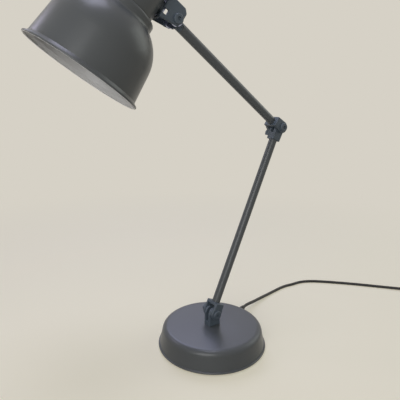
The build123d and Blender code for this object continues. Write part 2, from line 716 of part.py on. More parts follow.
def coil_path():
    """One unbroken line of half circles, with a straight end of a diameter at each side."""
    stops = coil_stops()
    pieces = [Line(stops[0] - Vector(0, CORD_D, 0), stops[0])]
    for step, (here, after) in enumerate(zip(stops, stops[1:])):
        bulge = Vector(0, (after - here).length / 2 * (-1) ** step, 0)
        pieces.append(ThreePointArc(here, (here + after) / 2 + bulge, after))
    away = Vector(0, CORD_D * (-1) ** (len(stops) - 1), 0)
    pieces.append(Line(stops[-1], stops[-1] + away))
    return Wire([edge for piece in pieces for edge in piece.edges()])


def coil_frame():
    """Puts the coil's first end on the cord's last point, in line with its last run."""
    before, last = Vector(*cord_points[-2]), Vector(*cord_points[-1])
    heading = math.degrees(math.atan2(last.Y - before.Y, last.X - before.X))
    first = coil_stops()[0] - Vector(0, CORD_D, 0)
    return Pos(last.X, last.Y, 0) * Rot(0, 0, heading - 90) * Pos(-first.X, -first.Y, 0)


def least_gap(path):
    """Least clear space between turns of a cord, on points along its line."""
    count = int(path.length / GAP_STEP)
    points = [path @ (step / count) for step in range(count + 1)]
    pairs = [(here, there) for start, here in enumerate(points) for there in points[start + GAP_SKIP:]]
    return min((here - there).length for here, there in pairs) - CORD_D


def cord_coil():
    path = coil_path()
    solid = swept(path)
    print("coil length", round(path.length, 1), "volume over section",
          round(solid.volume / (math.pi * cord_r ** 2), 1), "least gap", round(least_gap(path), 2))
    return coil_frame() * solid


def cord_tie():
    """Flat strap round the coil's bundle, opposite its ends."""
    wide = TURN_PITCH * COIL_HALF_TURNS / 2 + CORD_D + 2 * TIE_ROOM
    tall = LAYER_RISE + CORD_D + 2 * TIE_ROOM
    outside = RectangleRounded(wide + 2 * TIE_T, tall + 2 * TIE_T, CORD_D / 2)
    outside -= RectangleRounded(wide, tall, CORD_D / 2 - TIE_T)
    strap = extrude(Plane.XZ * outside, TIE_W / 2, both=True)
    middle = (coil_low_z + coil_high_z) / 2
    across = -(COIL_MID_R - TURN_PITCH / 4)
    return coil_frame() * Rot(0, 0, 90) * Pos(across, 0, middle) * strap


def plug_frame():
    """Plug's axis on +X from the coil's last end."""
    stops = coil_stops()
    sign = (-1) ** (len(stops) - 1)
    return coil_frame() * Pos(*(stops[-1] + Vector(0, CORD_D * sign, 0))) * Rot(0, 0, 90 * sign)


def plug_body():
    """Flat two-pin plug with a slim neck, lying on the table."""
    neck = cord_r + PLUG_NECK_WALL
    flared = neck + PLUG_NECK_WALL
    sizes = [(neck, neck), (flared, flared), (PLUG_W / 3, PLUG_SHOULDER * coil_high_z)]
    sizes += [(PLUG_W / 2, coil_high_z)] * 2
    stations = [0, PLUG_NECK_L, PLUG_NECK_L + PLUG_TAPER / 2, PLUG_NECK_L + PLUG_TAPER, PLUG_NECK_L + PLUG_L]
    faces = []
    for place, (wide, thick) in zip(stations, sizes):
        outline = RectangleRounded(2 * wide, 2 * thick, PLUG_CORNER * min(wide, thick))
        faces.append(Plane((place, 0, 0), x_dir=(0, 1, 0), z_dir=(1, 0, 0)) * outline)
    return plug_frame() * loft(faces, ruled=True)


def plug_pins():
    start = PLUG_NECK_L + PLUG_L
    pin = bar(PIN_D / 2, start, start + PIN_L)
    pin = fillet(pin.edges().group_by(Axis.X)[-1], PIN_ROUND)
    return [plug_frame() * Pos(0, side * PIN_SPACING / 2, 0) * pin for side in (-1, 1)]


# All pieces, each with the frame that carries it
globe, bulb_body = bulb_parts()
still = Pos(0, 0, 0)
pieces = {
    "base_shell": (still, base_shell()),
    "base_weight": (still, base_weight()),
    "base_cover": (still, base_cover()),
    "base_cover_screws": (still, cover_screws()),
    "foot_pad": (still, post(pad_r, 0, PAD_T)),
    "base_fork": (still, base_fork()),
    "base_stud": (still, base_stud()),
    "base_stud_nut": (still, stud_nut()),
    "cord_gland": (still, cord_gland()),
    "mains_cord": (still, mains_cord()),
    "cord_coil": (still, cord_coil()),
    "cord_tie": (still, cord_tie()),
    "mains_plug": (still, plug_body()),
    "mains_plug_pins": (still, plug_pins()),
    "lower_arm_fork": (lower_frame, outer_fork()),
    "lower_arm_tube": (lower_frame, tube(tube_r, tube_r - TUBE_WALL, socket_floor, LOWER_ARM - socket_floor)),
    "lower_arm_lead": (lower_frame, arm_lead(LOWER_ARM, fork_floor)),
    "lower_arm_knuckle": (elbow_frame, Rot(180, 0, 0) * inner_fork()),
    "base_pivot_bolt": (lower_frame, pivot_bolt(outer_half, PIVOT_NUT_T)),
    "base_pivot_washers": (lower_frame, pivot_washers(outer_half)),
    "base_pivot_nut": (lower_frame, pivot_nut(outer_half)),
    "upper_arm_fork": (upper_frame, outer_fork()),
    "upper_arm_tube": (upper_frame, tube(tube_r, tube_r - TUBE_WALL, socket_floor, UPPER_ARM - EYE_REACH)),
    "upper_arm_lead": (upper_frame, arm_lead(UPPER_ARM, tube_r + FACE_GAP)),
    "upper_arm_knuckle": (upper_frame, Pos(0, 0, UPPER_ARM) * Rot(180, 0, 0) * tube_eye()),
    "elbow_bolt": (upper_frame, pivot_bolt(outer_half, WING_HUB_L)),
    "elbow_washers": (upper_frame, pivot_washers(outer_half)),
    "elbow_wing_nut": (Pos(*elbow_frame.position), wing_nut(outer_half, ELBOW_WING_TURN)),
    "head_bracket": (head_frame, head_bracket()),
    "head_bolt": (head_frame, pivot_bolt(bracket_half, WING_HUB_L)),
    "head_spacers": (head_frame, head_spacers()),
    "head_wing_nut": (head_frame, wing_nut(bracket_half, HEAD_WING_TURN)),
    "shade": (shade_frame, shade()),
    "neck_cup": (shade_frame, neck_cup()),
    "swivel_nipple": (shade_frame, swivel_nipple()),
    "swivel_saddle": (shade_frame, swivel_saddle()),
    "swivel_nuts": (shade_frame, swivel_nuts()),
    "holder_bridge": (shade_frame, holder_bridge()),
    "bridge_screws": (shade_frame, bridge_screws()),
    "lampholder": (shade_frame, lampholder()),
    "holder_nut": (shade_frame, holder_nut()),
    "holder_ring": (shade_frame, holder_ring()),
    "bulb_globe": (shade_frame, globe),
    "bulb_body": (shade_frame, bulb_body),
    "switch_body": (shade_frame, switch_body()),
    "switch_ring": (shade_frame, switch_ring()),
    "switch_button": (shade_frame, switch_button()),
}

os.makedirs("parts", exist_ok=True)
for name, (frame, made) in pieces.items():
    solids = made if isinstance(made, list) else [made]
    placed = [solid for piece in solids for solid in (frame * piece).solids()]
    shape = placed[0] if len(placed) == 1 else Compound(children=placed)
    export_step(shape, f"parts/{name}.step")
joints = {"elbow": elbow_frame, "head pivot": head_frame, "neck": neck_frame, "shade": shade_frame}
for name, frame in joints.items():
    print(name, [round(value, 2) for value in frame.position])
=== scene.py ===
import json
import math

import bmesh
import bpy
from mathutils import Matrix, Vector


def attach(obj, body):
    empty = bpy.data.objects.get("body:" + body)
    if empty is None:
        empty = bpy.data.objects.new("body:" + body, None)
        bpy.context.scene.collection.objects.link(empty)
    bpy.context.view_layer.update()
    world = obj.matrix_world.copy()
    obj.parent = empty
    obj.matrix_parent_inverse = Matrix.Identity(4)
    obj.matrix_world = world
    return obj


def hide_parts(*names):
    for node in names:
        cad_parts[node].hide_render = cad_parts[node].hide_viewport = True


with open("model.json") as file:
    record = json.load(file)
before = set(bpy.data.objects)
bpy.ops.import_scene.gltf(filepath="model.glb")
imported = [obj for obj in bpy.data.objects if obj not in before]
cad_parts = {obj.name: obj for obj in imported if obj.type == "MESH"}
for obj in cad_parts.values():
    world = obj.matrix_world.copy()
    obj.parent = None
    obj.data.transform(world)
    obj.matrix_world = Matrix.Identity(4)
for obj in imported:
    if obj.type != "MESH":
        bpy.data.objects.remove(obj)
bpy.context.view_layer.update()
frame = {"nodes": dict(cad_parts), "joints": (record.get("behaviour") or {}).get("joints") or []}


# Camera. It stands where the photograph was taken from, left of the arms' plane and a little above the
# elbow, and looks a little down. A lens of normal width gives the photograph's perspective.
MM = 0.001
CAMERA_PLACE = (-358.9, -480.4, 384.0)
CAMERA_HEADING = 55.35
CAMERA_PITCH = -13.36
CAMERA_ROLL = 0.65
CAMERA_LENS = 36.43
CAMERA_CLIP = 10

scene = bpy.context.scene
camera = bpy.data.objects.new("photo_camera", bpy.data.cameras.new("photo_camera"))
camera.data.lens = CAMERA_LENS
camera.data.clip_start = CAMERA_CLIP * MM
heading = Matrix.Rotation(math.radians(CAMERA_HEADING - 90), 4, "Z")
pitch = Matrix.Rotation(math.radians(CAMERA_PITCH + 90), 4, "X")
roll = Matrix.Rotation(math.radians(CAMERA_ROLL), 4, "Z")
camera.matrix_world = Matrix.Translation(Vector(CAMERA_PLACE) * MM) @ heading @ pitch @ roll
scene.collection.objects.link(camera)
scene.camera = camera
scene.view_settings.view_transform = "Standard"


# Floor and light. A plain pale studio floor fades into a backdrop of the same colour. Soft boxes stand left
# of the camera, right of the lamp, behind it and overhead. Two small ones light the shade: one grazes its
# left side from behind, and one shines into its mouth from low down.
FLOOR_COLOUR = "#d6d1c6"
PAINT_COLOUR = "#dcd6c1"
BOUNCE_COLOUR = "#3c3a38"
AMBIENT_COLOUR = "#ffffff"
FLOOR_REACH = 9000
FLOOR_GLOW = 0.44
FADE_NEAR = 350
FADE_FAR = 1250
AMBIENT = 0.06
LAMP_MIDDLE = (0, 0, 250)
SHADE_MOUTH = (-180, 15, 440)
# Place, aim, width, beam angle, power in watts and colour.
SOFT_BOXES = {
    "key_box": ((-1100, -900, 700), LAMP_MIDDLE, 900, 180, 8.2, "#ffffff"),
    "right_box": ((1400, -300, 900), LAMP_MIDDLE, 1000, 180, 3.6, "#f6fff9"),
    "back_box": ((600, 1450, 1750), LAMP_MIDDLE, 1200, 180, 14.0, "#cfd4ff"),
    "overhead_box": ((-100, 0, 1700), LAMP_MIDDLE, 600, 180, 5.6, "#e4e4ff"),
    "rim_box": ((-700, 1000, 1100), SHADE_MOUTH, 300, 180, 1.4, "#e6e0ff"),
    "mouth_box": ((-900, -150, 80), SHADE_MOUTH, 300, 30, 0.042, "#ffffff"),
}


def linear(colour):
    """Linear RGBA of an sRGB hex colour."""
    channels = [int(colour[start:start + 2], 16) / 255 for start in (1, 3, 5)]
    return tuple(c / 12.92 if c <= 0.04045 else ((c + 0.055) / 1.055) ** 2.4 for c in channels) + (1.0,)


def add_node(tree, kind, settings=None, links=None):
    """New shader node with its properties or sockets set, and inputs linked from other nodes' sockets."""
    made = tree.nodes.new(kind)
    for name, value in (settings or {}).items():
        if isinstance(name, str) and hasattr(made, name):
            setattr(made, name, value)
        else:
            made.inputs[name].default_value = value
    for name, source in (links or {}).items():
        tree.links.new(source, made.inputs[name])
    return made


def new_finish(name):
    """Empty material, and the tree that its nodes go into."""
    material = bpy.data.materials.new(name)
    material.use_nodes = True
    material.node_tree.nodes.clear()
    return material, material.node_tree


def in_view(tree):
    """1 for rays that show a surface, straight or by reflection, and 0 for those that only light."""
    rays = add_node(tree, "ShaderNodeLightPath")
    seen = add_node(tree, "ShaderNodeMath", {"operation": "MAXIMUM"},
                    {0: rays.outputs["Is Camera Ray"], 1: rays.outputs["Is Glossy Ray"]})
    seen = add_node(tree, "ShaderNodeMath", {"operation": "MAXIMUM"},
                    {0: seen.outputs[0], 1: rays.outputs["Is Transmission Ray"]})
    return seen.outputs[0]


def painted_floor():
    """Pale matt paint near the lamp, with a glow that lifts its shadows, and backdrop colour far off."""
    material, tree = new_finish("painted_studio_floor")
    place = add_node(tree, "ShaderNodeTexCoord")
    distance = add_node(tree, "ShaderNodeVectorMath", {"operation": "LENGTH"}, {0: place.outputs["Object"]})
    fade = add_node(tree, "ShaderNodeMapRange",
                    {"interpolation_type": "SMOOTHSTEP", "From Min": FADE_NEAR * MM,
                     "From Max": FADE_FAR * MM},
                    {"Value": distance.outputs["Value"]})
    seen = in_view(tree)
    bounce = linear(BOUNCE_COLOUR)
    near_tone = add_node(tree, "ShaderNodeMix", {"data_type": "RGBA", 6: bounce, 7: linear(PAINT_COLOUR)},
                         {0: seen})
    far_tone = add_node(tree, "ShaderNodeMix", {"data_type": "RGBA", 6: bounce, 7: linear(FLOOR_COLOUR)},
                        {0: seen})
    paint = add_node(tree, "ShaderNodeBsdfDiffuse", {}, {"Color": near_tone.outputs[2]})
    glow = add_node(tree, "ShaderNodeEmission", {"Strength": FLOOR_GLOW}, {"Color": near_tone.outputs[2]})
    near = add_node(tree, "ShaderNodeAddShader", {}, {0: paint.outputs[0], 1: glow.outputs[0]})
    haze = add_node(tree, "ShaderNodeEmission", {}, {"Color": far_tone.outputs[2]})
    faded = add_node(tree, "ShaderNodeMixShader", {},
                     {0: fade.outputs[0], 1: near.outputs[0], 2: haze.outputs[0]})
    add_node(tree, "ShaderNodeOutputMaterial", {}, {"Surface": faded.outputs[0]})
    return material


floor_mesh = bpy.data.meshes.new("studio_floor")
reach = FLOOR_REACH * MM
corners = [(-reach, -reach, 0), (reach, -reach, 0), (reach, reach, 0), (-reach, reach, 0)]
floor_mesh.from_pydata(corners, [], [(0, 1, 2, 3)])
floor_mesh.materials.append(painted_floor())
floor = bpy.data.objects.new("studio_floor", floor_mesh)
scene.collection.objects.link(floor)

scene.world = bpy.data.worlds.new("studio")
scene.world.use_nodes = True
sky = scene.world.node_tree
sky.nodes.clear()
ambient = add_node(sky, "ShaderNodeBackground", {"Color": linear(AMBIENT_COLOUR), "Strength": AMBIENT})
backdrop = add_node(sky, "ShaderNodeBackground", {"Color": linear(FLOOR_COLOUR), "Strength": 1.0})
mixed = add_node(sky, "ShaderNodeMixShader", {},
                 {0: in_view(sky), 1: ambient.outputs[0], 2: backdrop.outputs[0]})
add_node(sky, "ShaderNodeOutputWorld", {}, {"Surface": mixed.outputs[0]})

for name, (place, aim, width, beam, power, colour) in SOFT_BOXES.items():
    lamp = bpy.data.objects.new(name, bpy.data.lights.new(name, "AREA"))
    lamp.data.size = width * MM
    lamp.data.spread = math.radians(beam)
    lamp.data.energy = power
    lamp.data.color = linear(colour)[:3]
    lamp.location = Vector(place) * MM
    lamp.rotation_euler = (Vector(aim) * MM - lamp.location).to_track_quat("-Z", "Y").to_euler()
    scene.collection.objects.link(lamp)


# Mains cord. Round two-core flex in an extruded black PVC jacket, about 1.8 m long. It leaves the base
# through a moulded gland, runs along the floor, and its spare length is wound in two layers under a strap.
PVC_BLACK = "#101013"
PVC_IOR = 1.53
DRAG_MM = 4.0
DRAG_DEPTH_MM = 0.1
CORD_D = 5.6
CORD_EXIT = 23.0
GLAND_TIP = 116.5
GLAND_Z = 11.5
CORD_STRAIGHT = 10.0
CORD_R = CORD_D / 2
COIL_LOW_Z = 4.1
COIL_HIGH_Z = 10.7
COIL_MID_R = 33.3
TURN_PITCH = 7.1
COIL_HALF_TURNS = 6
POINTS_PER_HALF_TURN = 8
FLOOR_ROUTE = (
    (140.0, 56.0, 8.2), (172.0, 66.0, 4.4), (204.5, 73.0, CORD_R), (249.0, 80.5, CORD_R),
    (273.0, 77.0, CORD_R), (298.0, 76.5, CORD_R), (322.0, 66.0, CORD_R), (351.0, 41.0, CORD_R),
    (388.0, 5.0, CORD_R), (428.0, -39.0, CORD_R), (473.0, -92.0, COIL_LOW_Z), (510.5, -139.6, COIL_LOW_Z))


def dress(material, *names):
    """Gives CAD pieces a finish."""
    for name in names:
        for slot in frame["nodes"][name].material_slots:
            slot.material = material


def pvc_jacket():
    """Extruded PVC: a dull black skin with a faint drag along it, which breaks up its highlights."""
    material, tree = new_finish("extruded_black_pvc")
    place = add_node(tree, "ShaderNodeTexCoord")
    drag = add_node(tree, "ShaderNodeTexNoise", {"Scale": 1 / (DRAG_MM * MM), "Detail": 3.0},
                    {"Vector": place.outputs["Object"]})
    gloss = add_node(tree, "ShaderNodeMapRange", {"To Min": 0.36, "To Max": 0.52},
                     {"Value": drag.outputs[0]})
    relief = add_node(tree, "ShaderNodeBump", {"Strength": 0.2, "Distance": DRAG_DEPTH_MM * MM},
                      {"Height": drag.outputs[0]})
    shader = add_node(tree, "ShaderNodeBsdfPrincipled", {"Base Color": linear(PVC_BLACK), "IOR": PVC_IOR},
                      {"Roughness": gloss.outputs[0], "Normal": relief.outputs[0]})
    add_node(tree, "ShaderNodeOutputMaterial", {}, {"Surface": shader.outputs[0]})
    return material


def out_along(distance):
    """Point on the gland's axis, that far from the middle of the base."""
    angle = math.radians(CORD_EXIT)
    return Vector((distance * math.cos(angle), distance * math.sin(angle), GLAND_Z))


def coil_points():
    """The coil about its own middle: half turns inwards on the low layer, then outwards on the high one."""
    start_r = COIL_MID_R + TURN_PITCH * COIL_HALF_TURNS / 4
    inwards = [start_r - TURN_PITCH * step / 2 for step in range(COIL_HALF_TURNS + 1)]
    stops = [(radius, COIL_LOW_Z) for radius in inwards]
    stops += [(radius, COIL_HIGH_Z) for radius in reversed(inwards)]
    stops = [Vector((radius * (-1) ** step, 0, height)) for step, (radius, height) in enumerate(stops)]
    points = [stops[0] - Vector((0, CORD_D, 0)), stops[0]]
    for step, (here, after) in enumerate(zip(stops, stops[1:])):
        middle = (here + after) / 2
        bulge = Vector((0, (after - here).length / 2 * (-1) ** step, 0))
        for count in range(1, POINTS_PER_HALF_TURN + 1):
            angle = math.pi * count / POINTS_PER_HALF_TURN
            points.append(middle + (here - middle) * math.cos(angle) + bulge * math.sin(angle))
    return points + [points[-1] + Vector((0, CORD_D * (-1) ** (len(stops) - 1), 0))]


route = [out_along(GLAND_TIP), out_along(GLAND_TIP + CORD_STRAIGHT)]
route += [Vector(point) for point in FLOOR_ROUTE]
last_run = route[-1] - route[-2]
coil = coil_points()
coil_turn = Matrix.Rotation(math.atan2(last_run.y, last_run.x) - math.pi / 2, 3, "Z")
coil_middle = route[-1] - coil_turn @ coil[0]
coil_middle.z = 0
route += [coil_middle + coil_turn @ point for point in coil[1:]]

cord_curve = bpy.data.curves.new("mains_flex", "CURVE")
cord_curve.dimensions = "3D"
cord_curve.bevel_depth = CORD_R * MM
cord_curve.bevel_resolution = 4
cord_curve.resolution_u = 6
cord_curve.use_fill_caps = True
line = cord_curve.splines.new("NURBS")
line.points.add(len(route) - 1)
for point, place in zip(line.points, route):
    point.co = (*(place * MM), 1.0)
line.order_u = 3
line.use_endpoint_u = True
flex = bpy.data.objects.new("mains_flex", cord_curve)
scene.collection.objects.link(flex)
black_pvc = pvc_jacket()
cord_curve.materials.append(black_pvc)
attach(flex, "base")
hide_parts("mains_cord", "cord_coil")
dress(black_pvc, "cord_gland", "lower_arm_lead", "upper_arm_lead")


# Strain relief. The gland's tapered tail is moulded in the same PVC, with raised rings round it that let it
# bend evenly where the cord leaves the base.
TAIL_START = 90.5
TAIL_START_R = 5.4
TAIL_TIP_R = 3.5
TAIL_RINGS = 5
TAIL_RING_FIRST = 96.0
TAIL_RING_STEP = 4.0
TAIL_RING_HALF_L = 1.0
TAIL_RING_RISE = 0.5
TAIL_RING_STEPS = 10
TURN_STEPS = 32
WELD_MM = 0.001
SHARP_ANGLE = 40


def lathe(shape, outline, place, axis, steps=TURN_STEPS):
    """Turns an outline of (radius, along) points about an axis into a skin, and returns the skin's lines."""
    turn = Vector(axis).to_track_quat("Z", "Y").to_matrix()
    lines = []
    for step in range(steps):
        angle = math.tau * step / steps
        out = Vector((math.cos(angle), math.sin(angle), 0))
        spots = [Vector(place) + turn @ (out * radius + Vector((0, 0, along))) for radius, along in outline]
        lines.append([shape.verts.new(spot * MM) for spot in spots])
    for here, after in zip(lines, lines[1:] + lines[:1]):
        for low in range(len(outline) - 1):
            shape.faces.new((here[low], after[low], after[low + 1], here[low + 1]))
    return lines


def new_piece(name, shape, material, body):
    """Closes a mesh and makes it a piece that rides on a body."""
    bmesh.ops.remove_doubles(shape, verts=shape.verts, dist=WELD_MM * MM)
    bmesh.ops.recalc_face_normals(shape, faces=shape.faces)
    mesh = bpy.data.meshes.new(name)
    shape.to_mesh(mesh)
    shape.free()
    for face in mesh.polygons:
        face.use_smooth = True
    mesh.set_sharp_from_angle(angle=math.radians(SHARP_ANGLE))
    mesh.materials.append(material)
    piece = bpy.data.objects.new(name, mesh)
    scene.collection.objects.link(piece)
    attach(piece, body)
    return piece


ring_shape = bmesh.new()
gland_axis = out_along(1.0) - out_along(0.0)
ring_angles = [math.tau * step / TAIL_RING_STEPS for step in range(TAIL_RING_STEPS + 1)]
for count in range(TAIL_RINGS):
    distance = TAIL_RING_FIRST + TAIL_RING_STEP * count
    share = (distance - TAIL_START) / (GLAND_TIP - TAIL_START)
    tail_r = TAIL_START_R + (TAIL_TIP_R - TAIL_START_R) * share
    ring = [(tail_r + TAIL_RING_RISE * math.sin(angle), TAIL_RING_HALF_L * math.cos(angle))
            for angle in ring_angles]
    lathe(ring_shape, ring, out_along(distance), gland_axis)
tail_rings = new_piece("gland_tail_rings", ring_shape, black_pvc, "base")


# Plug and strap. The plug and the strap round the coil are moulded in black thermoplastic with a fine spark
# texture. The plug has grip ridges on its two sides, and its round pins are nickel-plated brass.
PLASTIC_BLACK = "#161618"
PLASTIC_IOR = 1.49
SPARK_MM = 0.9
SPARK_DEPTH_MM = 0.08
NICKEL = "#d6d2c8"
PLUG_HALF_W = 13.0
PLUG_RIDGES = 5
PLUG_RIDGE_FIRST = 33.0
PLUG_RIDGE_STEP = 3.2
PLUG_RIDGE_R = 0.9
PLUG_RIDGE_HALF_L = 6.5
PLUG_RIDGE_STEPS = 12
# A ridge's rounded end as (outwards, along), in shares of the ridge's radius.
RIDGE_END = ((0.0, 0.0), (0.7, 0.3), (1.0, 1.0))


def moulded_plastic():
    """Injection-moulded thermoplastic. Its spark texture is drawn coarser than real so that it shows."""
    material, tree = new_finish("moulded_black_thermoplastic")
    place = add_node(tree, "ShaderNodeTexCoord")
    spark = add_node(tree, "ShaderNodeTexNoise", {"Scale": 1 / (SPARK_MM * MM), "Detail": 4.0},
                     {"Vector": place.outputs["Object"]})
    gloss = add_node(tree, "ShaderNodeMapRange", {"To Min": 0.38, "To Max": 0.58},
                     {"Value": spark.outputs[0]})
    relief = add_node(tree, "ShaderNodeBump", {"Strength": 0.3, "Distance": SPARK_DEPTH_MM * MM},
                      {"Height": spark.outputs[0]})
    shader = add_node(tree, "ShaderNodeBsdfPrincipled",
                      {"Base Color": linear(PLASTIC_BLACK), "IOR": PLASTIC_IOR},
                      {"Roughness": gloss.outputs[0], "Normal": relief.outputs[0]})
    add_node(tree, "ShaderNodeOutputMaterial", {}, {"Surface": shader.outputs[0]})
    return material


def plated_metal(name, colour, roughness, spread, blotch_mm):
    """Plated metal: bright, with soft blotches of a duller gloss where the plate is thicker or handled."""
    material, tree = new_finish(name)
    place = add_node(tree, "ShaderNodeTexCoord")
    blotch = add_node(tree, "ShaderNodeTexNoise", {"Scale": 1 / (blotch_mm * MM), "Detail": 3.0},
                      {"Vector": place.outputs["Object"]})
    gloss = add_node(tree, "ShaderNodeMapRange",
                     {"To Min": roughness - spread, "To Max": roughness + spread},
                     {"Value": blotch.outputs[0]})
    shader = add_node(tree, "ShaderNodeBsdfPrincipled", {"Base Color": linear(colour), "Metallic": 1.0},
                      {"Roughness": gloss.outputs[0]})
    add_node(tree, "ShaderNodeOutputMaterial", {}, {"Surface": shader.outputs[0]})
    return material


black_plastic = moulded_plastic()
dress(black_plastic, "mains_plug", "cord_tie")
plug_end = route[-1]
plug_axis = (route[-1] - route[-2]).normalized()
plug_side = Vector((0, 0, 1)).cross(plug_axis)
ridge = [(PLUG_RIDGE_R * out, PLUG_RIDGE_R * along - PLUG_RIDGE_HALF_L) for out, along in RIDGE_END]
ridge += [(radius, -along) for radius, along in reversed(ridge)]
ridge_shape = bmesh.new()
for count in range(PLUG_RIDGES):
    middle = plug_end + plug_axis * (PLUG_RIDGE_FIRST + PLUG_RIDGE_STEP * count)
    for side in (-PLUG_HALF_W, PLUG_HALF_W):
        lathe(ridge_shape, ridge, middle + plug_side * side, (0, 0, 1), PLUG_RIDGE_STEPS)
plug_ridges = new_piece("plug_grip_ridges", ridge_shape, black_plastic, "base")
nickel_plate = plated_metal("nickel_plated_brass", NICKEL, roughness=0.2, spread=0.05, blotch_mm=3.0)
dress(nickel_plate, "mains_plug_pins")


# Base. A pressed steel shell with a rolled lip, powder-coated dark grey, over a cast-iron disc. A plated
# cover closes it from below, a foam rubber pad is glued on, and a hollow stud with a nut ties it together.
COAT_GREY = "#5a5e60"
COAT_IOR = 1.5
CLOUD_MM = 70.0
CLOUD_SHARE = 0.07
PEEL_MM = 2.4
PEEL_DEPTH_MM = 0.12
IRON_GREY = "#4a4846"
SAND_MM = 1.2
SAND_DEPTH_MM = 0.3
RUBBER_BLACK = "#1c1c1c"
CELL_MM = 0.9
CELL_DEPTH_MM = 0.3
# Zinc plate is passivated, which tints it blue.
ZINC = "#adb2cb"


def powder_coat_nodes(tree, colour):
    """Baked polyester powder: satin, faintly cloudy, with an orange peel drawn coarser than real to show."""
    place = add_node(tree, "ShaderNodeTexCoord")
    cloud = add_node(tree, "ShaderNodeTexNoise", {"Scale": 1 / (CLOUD_MM * MM), "Detail": 4.0},
                     {"Vector": place.outputs["Object"]})
    peel = add_node(tree, "ShaderNodeTexNoise", {"Scale": 1 / (PEEL_MM * MM), "Detail": 2.0},
                    {"Vector": place.outputs["Object"]})
    paint = linear(colour)
    thin = tuple((1 - CLOUD_SHARE) * channel for channel in paint[:3]) + (1.0,)
    full = tuple((1 + CLOUD_SHARE) * channel for channel in paint[:3]) + (1.0,)
    tone = add_node(tree, "ShaderNodeMix", {"data_type": "RGBA", 6: thin, 7: full}, {0: cloud.outputs[0]})
    gloss = add_node(tree, "ShaderNodeMapRange", {"To Min": 0.29, "To Max": 0.37},
                     {"Value": peel.outputs[0]})
    relief = add_node(tree, "ShaderNodeBump", {"Strength": 0.15, "Distance": PEEL_DEPTH_MM * MM},
                      {"Height": peel.outputs[0]})
    return tone.outputs[2], gloss.outputs[0], relief.outputs[0]


def powder_coat():
    """The dark grey coat of the base, the arms and the neck."""
    material, tree = new_finish("dark_grey_powder_coat")
    tone, gloss, relief = powder_coat_nodes(tree, COAT_GREY)
    shader = add_node(tree, "ShaderNodeBsdfPrincipled", {"IOR": COAT_IOR},
                      {"Base Color": tone, "Roughness": gloss, "Normal": relief})
    add_node(tree, "ShaderNodeOutputMaterial", {}, {"Surface": shader.outputs[0]})
    return material


def sand_cast_iron():
    """Raw cast iron: dull, part metal and part scale, with the grain of its sand mould."""
    material, tree = new_finish("sand_cast_iron")
    place = add_node(tree, "ShaderNodeTexCoord")
    sand = add_node(tree, "ShaderNodeTexNoise", {"Scale": 1 / (SAND_MM * MM), "Detail": 6.0},
                    {"Vector": place.outputs["Object"]})
    relief = add_node(tree, "ShaderNodeBump", {"Strength": 0.6, "Distance": SAND_DEPTH_MM * MM},
                      {"Height": sand.outputs[0]})
    shader = add_node(tree, "ShaderNodeBsdfPrincipled",
                      {"Base Color": linear(IRON_GREY), "Metallic": 0.6, "Roughness": 0.75},
                      {"Normal": relief.outputs[0]})
    add_node(tree, "ShaderNodeOutputMaterial", {}, {"Surface": shader.outputs[0]})
    return material


def foam_rubber():
    """Closed-cell foam rubber: dead matt, with its cells open at the cut face."""
    material, tree = new_finish("closed_cell_foam_rubber")
    place = add_node(tree, "ShaderNodeTexCoord")
    cells = add_node(tree, "ShaderNodeTexVoronoi", {"Scale": 1 / (CELL_MM * MM)},
                     {"Vector": place.outputs["Object"]})
    relief = add_node(tree, "ShaderNodeBump", {"Strength": 0.5, "Distance": CELL_DEPTH_MM * MM},
                      {"Height": cells.outputs[0]})
    shader = add_node(tree, "ShaderNodeBsdfPrincipled",
                      {"Base Color": linear(RUBBER_BLACK), "Roughness": 0.95},
                      {"Normal": relief.outputs[0]})
    add_node(tree, "ShaderNodeOutputMaterial", {}, {"Surface": shader.outputs[0]})
    return material


grey_coat = powder_coat()
zinc_plate = plated_metal("bright_zinc_plate", ZINC, roughness=0.35, spread=0.06, blotch_mm=6.0)
dress(foam_rubber(), "foot_pad")
dress(sand_cast_iron(), "base_weight")
dress(grey_coat, "base_shell")
dress(zinc_plate, "base_cover", "base_cover_screws", "base_stud", "base_stud_nut")


# Base joint. A cast fork on the base stands between the two ears of the arm's own fork, with bright
# friction washers and one button-head bolt. The castings are sprayed dark slate. Their edges are lighter,
# partly where handling has rubbed them and partly as a painted highlight where edges catch the light.
CASTING_SLATE = "#5b6670"
# The edges' lighter colour: rubbed wear and a painted highlight.
RUBBED_EDGE_AND_HIGHLIGHT = "#737b83"
SPRAY_IOR = 1.5
GRAIN_MM = 1.1
GRAIN_DEPTH_MM = 0.08
EDGE_MM = 0.9
# Cosine between a face and its rounded edge where wear and painted highlight start and are full, and their
# top share.
WEAR_AND_HIGHLIGHT_START = 0.99
WEAR_AND_HIGHLIGHT_FULL = 0.8
WEAR_AND_HIGHLIGHT_MOST = 0.8


